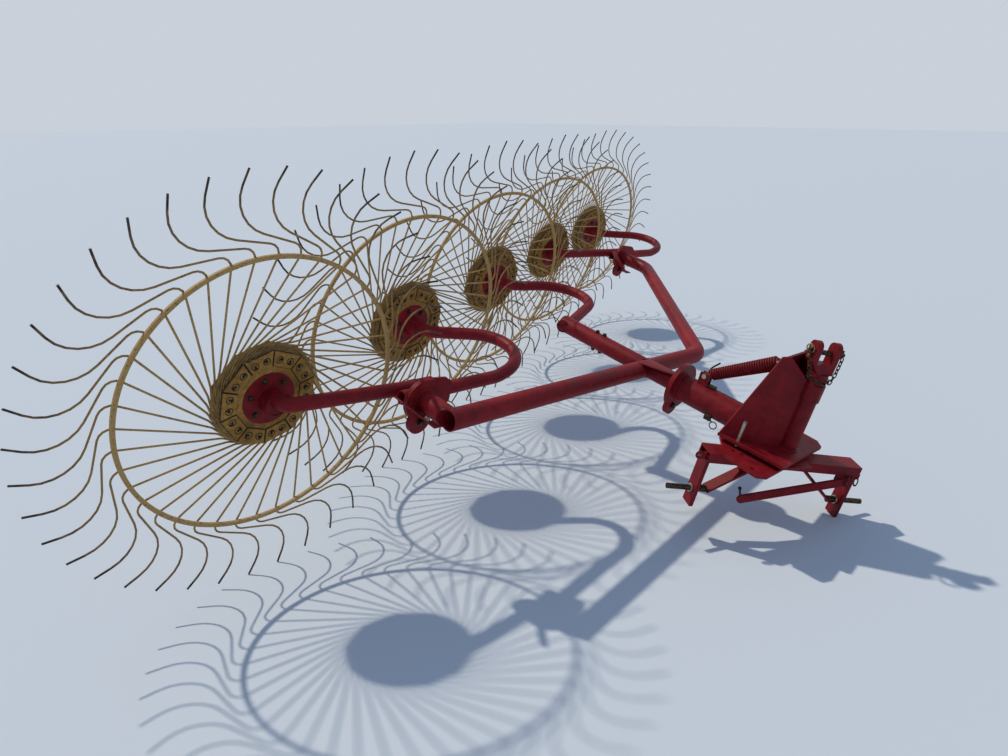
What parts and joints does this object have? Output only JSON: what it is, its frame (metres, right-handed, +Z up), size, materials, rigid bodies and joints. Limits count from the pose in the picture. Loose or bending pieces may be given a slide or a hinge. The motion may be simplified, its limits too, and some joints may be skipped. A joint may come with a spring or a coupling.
{
  "type": "wheel rake",
  "caption": "Mounted finger-wheel rake with a row of tined wheels on rocking arms, a swinging mast and a three-point hitch.",
  "frame": {"origin": "centre of the footprint, on the floor that the wheels and one hitch foot stand on", "axes": "+X along the machine to the far wheel, +Y to the rear of the row, +Z up; the tractor stands towards -Y"},
  "size_m": [4.9618, 2.8408, 1.4389],
  "materials": {
    "bare_steel": "greased and scratched",
    "dull_metal": "dark, oily",
    "red_paint": "faded and rusting",
    "yellow_paint": "weathered, worn to bare steel at the tips"
  },
  "bodies": {
    "headstock": {"crossbar": "red_paint", "sector_plate": "red_paint", "king_post": "red_paint", "top_clevis": "red_paint", "top_pin": "dull_metal", "drop_arms": "red_paint", "link_pins": "bare_steel", "braces": "red_paint", "stay_lug": "red_paint"},
    "swing_frame": {"swing_plate": "red_paint", "mast_sides": "red_paint", "mast_back": "red_paint", "mast_sleeve": "red_paint", "lock_pin": "bare_steel", "boom": "red_paint", "boom_flange": "red_paint", "frame_flange": "red_paint", "centre_beam": "red_paint", "main_tube": "red_paint", "near_pivot_housing": "red_paint", "far_pivot_housing": "red_paint", "middle_curved_arm": "red_paint", "spring_bracket": "red_paint", "float_spring": "red_paint", "spring_pins": "bare_steel"},
    "near_rocker": {"near_rocker_plate": "red_paint", "near_straight_arm": "red_paint", "near_curved_arm": "red_paint"},
    "far_rocker": {"far_rocker_plate": "red_paint", "far_straight_arm": "red_paint", "far_curved_arm": "red_paint"},
    "stay": {"stay_bar": "red_paint"},
    "wheel_1": {"wheel_1_tines": "yellow_paint", "wheel_1_clamp": "yellow_paint", "wheel_1_hub": "red_paint"},
    "wheel_2": {"wheel_2_tines": "yellow_paint", "wheel_2_clamp": "yellow_paint", "wheel_2_hub": "red_paint"},
    "wheel_3": {"wheel_3_tines": "yellow_paint", "wheel_3_clamp": "yellow_paint", "wheel_3_hub": "red_paint"},
    "wheel_4": {"wheel_4_tines": "yellow_paint", "wheel_4_clamp": "yellow_paint", "wheel_4_hub": "red_paint"},
    "wheel_5": {"wheel_5_tines": "yellow_paint", "wheel_5_clamp": "yellow_paint", "wheel_5_hub": "red_paint"}
  },
  "joints": [
    {"name": "mast_swing", "type": "hinge", "parent": "headstock", "child": "swing_frame", "pos_m": [-0.1604, -1.2112, 0.33608], "axis": [0.0906, -0.2243, 0.9703], "range_deg": [-13, 13]},
    {"name": "near_rocker_pivot", "type": "hinge", "parent": "swing_frame", "child": "near_rocker", "pos_m": [-1.30847, -0.41462, 0.65528], "axis": [-0.0103, -0.9745, -0.2243], "range_deg": [-12, 12]},
    {"name": "far_rocker_pivot", "type": "hinge", "parent": "swing_frame", "child": "far_rocker", "pos_m": [1.30619, 0.64177, 0.65528], "axis": [-0.0103, -0.9745, -0.2243], "range_deg": [-12, 12]},
    {"name": "wheel_1_turn", "type": "hinge", "parent": "near_rocker", "child": "wheel_1", "pos_m": [-1.74327, -0.1696, 0.71646], "axis": [-0.0103, -0.9745, -0.2243], "continuous": true},
    {"name": "wheel_2_turn", "type": "hinge", "parent": "near_rocker", "child": "wheel_2", "pos_m": [-0.87172, 0.18253, 0.71646], "axis": [-0.0103, -0.9745, -0.2243], "continuous": true},
    {"name": "wheel_3_turn", "type": "hinge", "parent": "swing_frame", "child": "wheel_3", "pos_m": [-0.00016, 0.53466, 0.71646], "axis": [-0.0103, -0.9745, -0.2243], "continuous": true},
    {"name": "wheel_4_turn", "type": "hinge", "parent": "far_rocker", "child": "wheel_4", "pos_m": [0.87139, 0.88679, 0.71646], "axis": [-0.0103, -0.9745, -0.2243], "continuous": true},
    {"name": "wheel_5_turn", "type": "hinge", "parent": "far_rocker", "child": "wheel_5", "pos_m": [1.74294, 1.23892, 0.71646], "axis": [-0.0103, -0.9745, -0.2243], "continuous": true},
    {"name": "stay_swing", "type": "hinge", "parent": "headstock", "child": "stay", "pos_m": [0.03751, -1.38533, 0.1884], "axis": [-0.5611, -0.8164, -0.1363], "range_deg": [-15, 70]}
  ]
}
